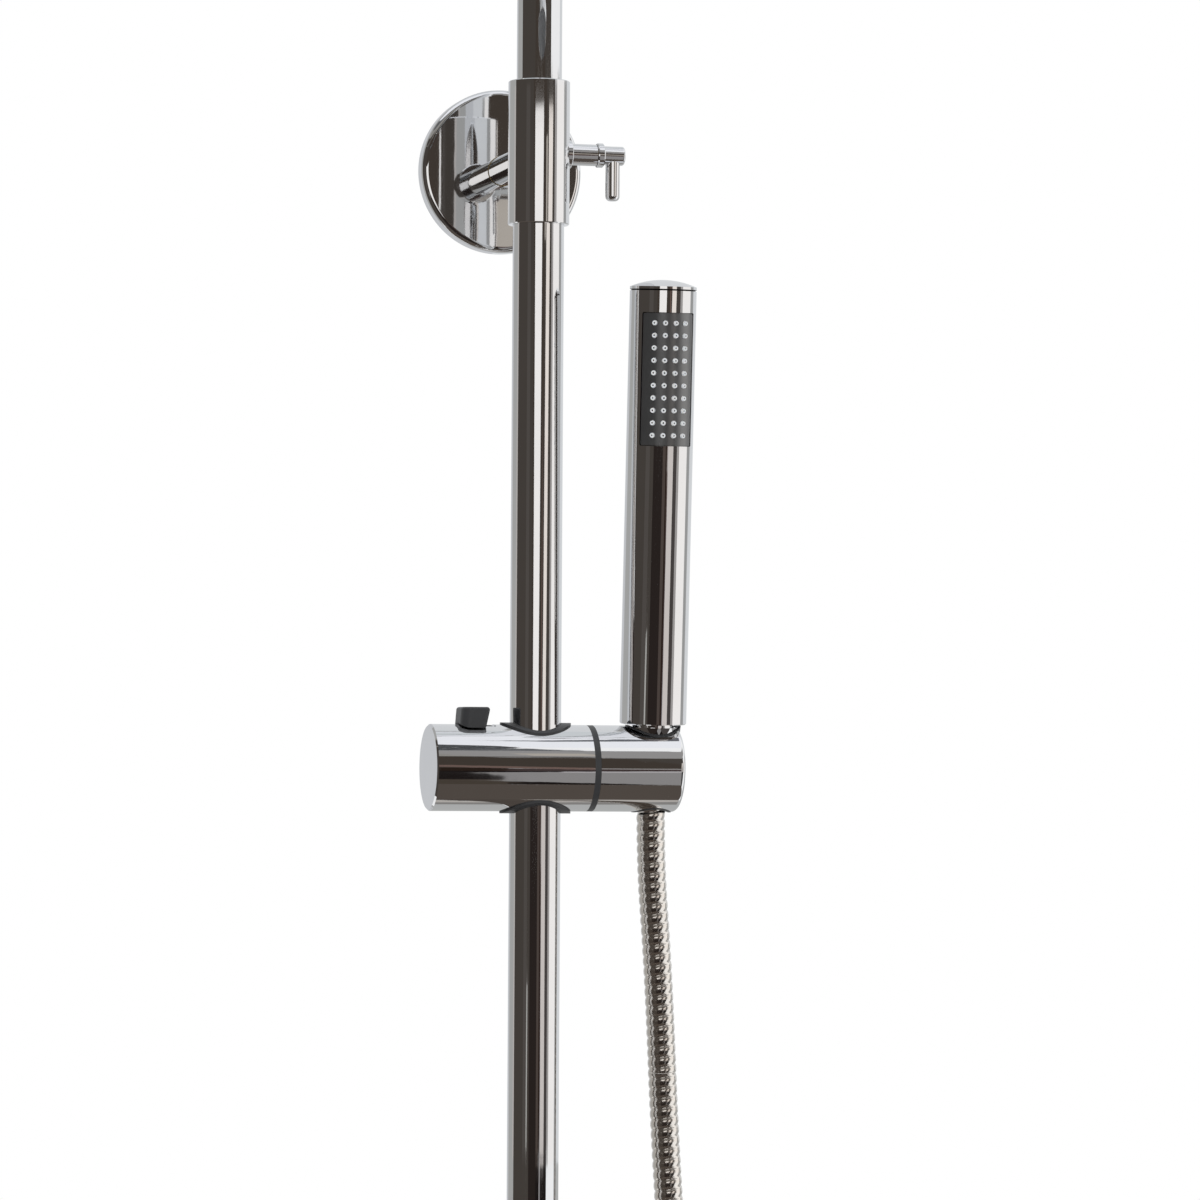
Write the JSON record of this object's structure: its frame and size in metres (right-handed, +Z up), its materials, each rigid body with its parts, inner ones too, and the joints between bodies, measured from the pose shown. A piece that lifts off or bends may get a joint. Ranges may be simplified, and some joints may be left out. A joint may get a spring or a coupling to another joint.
{
  "type": "shower column",
  "caption": "Wall-held chrome shower column: riser with diverter and overhead rain head, and a locking slider that holds a stick handset on a metal hose.",
  "frame": {"origin": "middle of the upper water inlet, in the plane of the wall", "axes": "+Z up along the riser, +Y into the wall, +X to the right as seen from the front"},
  "size_m": [0.2041, 0.502, 1.4499],
  "materials": {
    "chromed_brass": "polished chrome plate on brass",
    "chromed_plastic": "polished chrome plate on moulded plastic",
    "black_plastic": "satin moulded plastic",
    "grey_plastic": "satin moulded plastic",
    "silicone": "soft translucent silicone",
    "brass": "turned",
    "steel": "plain",
    "steel_hose": "interlocked polished strip"
  },
  "bodies": {
    "column": {"upper_rose": "chromed_brass", "lower_rose": "chromed_brass", "wall_fitting": "brass", "lower_wall_plate": "steel", "wall_grub_screws": "steel", "inlet_arm": "chromed_brass", "lower_arm": "chromed_brass", "diverter_body": "chromed_brass", "lower_body": "chromed_brass", "arm_grub_screws": "steel", "riser_seals": "silicone", "overhead_pipe_seal": "silicone", "riser_tube": "chromed_brass", "spindle_gland": "chromed_brass", "overhead_pipe": "chromed_brass", "head_connector": "chromed_brass", "hose_outlet_nut": "chromed_brass", "lower_hose_seal": "silicone"},
    "diverter_handle": {"diverter_spindle": "brass", "diverter_lever": "chromed_brass", "lever_grub_screw": "steel"},
    "rain_head": {"rain_pan": "chromed_plastic", "head_nut": "chromed_brass", "rain_face": "grey_plastic", "rain_nozzles": "silicone"},
    "hose": {"upper_hose": "steel_hose", "lower_hose": "steel_hose", "lower_ferrule": "steel"},
    "slider": {"slider_body": "chromed_plastic", "slider_end_cap": "chromed_plastic", "upper_bush": "black_plastic", "lower_bush": "black_plastic", "lever_pin": "steel", "brake_spring": "steel", "swivel_washer": "black_plastic", "wave_washer": "steel"},
    "brake": {"brake_shoe": "black_plastic"},
    "lock_lever": {"lock_lever": "black_plastic"},
    "holder": {"swivel_bolt": "steel", "holder_body": "chromed_plastic", "holder_liner": "black_plastic", "hose_cone_nut": "chromed_brass", "upper_ferrule": "steel", "upper_hose_seal": "silicone", "handset_shell": "chromed_plastic", "handset_cap": "chromed_plastic", "spray_panel": "grey_plastic", "spray_mat": "silicone"}
  },
  "joints": [
    {"name": "diverter_turn", "type": "hinge", "parent": "column", "child": "diverter_handle", "pos_m": [0.038, -0.088, 0], "axis": [1, 0, 0], "range_deg": [-90, 0]},
    {"name": "head_tilt", "type": "hinge", "parent": "column", "child": "rain_head", "pos_m": [0, -0.388, 0.136], "axis": [1, 0, 0], "range_deg": [-12, 12]},
    {"name": "slider_swivel", "type": "hinge", "parent": "column", "child": "hose", "pos_m": [0, -0.088, -0.299], "axis": [0, 0, 1], "range_deg": [-90, 20]},
    {"name": "slider_height", "type": "slide", "parent": "hose", "child": "slider", "axis": [0, 0, 1], "range_m": [-0.38, 0.05], "deforming": ["upper_hose", "lower_hose"]},
    {"name": "lock_press", "type": "hinge", "parent": "slider", "child": "lock_lever", "pos_m": [-0.027, -0.088, -0.287], "axis": [0, 1, 0], "range_deg": [0, 5], "stiffness_Nm_per_rad": 0.8, "springref_deg": -8.59},
    {"name": "brake_release", "type": "slide", "parent": "slider", "child": "brake", "axis": [1, 0, 0], "range_m": [-0.00106, 0], "deforming": ["brake_spring"]},
    {"name": "holder_tilt", "type": "hinge", "parent": "slider", "child": "holder", "pos_m": [0.05, -0.088, -0.299], "axis": [1, 0, 0], "range_deg": [-12, 35]}
  ],
  "couplings": [
    {"joint": "brake_release", "follows": "lock_press", "m_per_rad": -0.012}
  ]
}
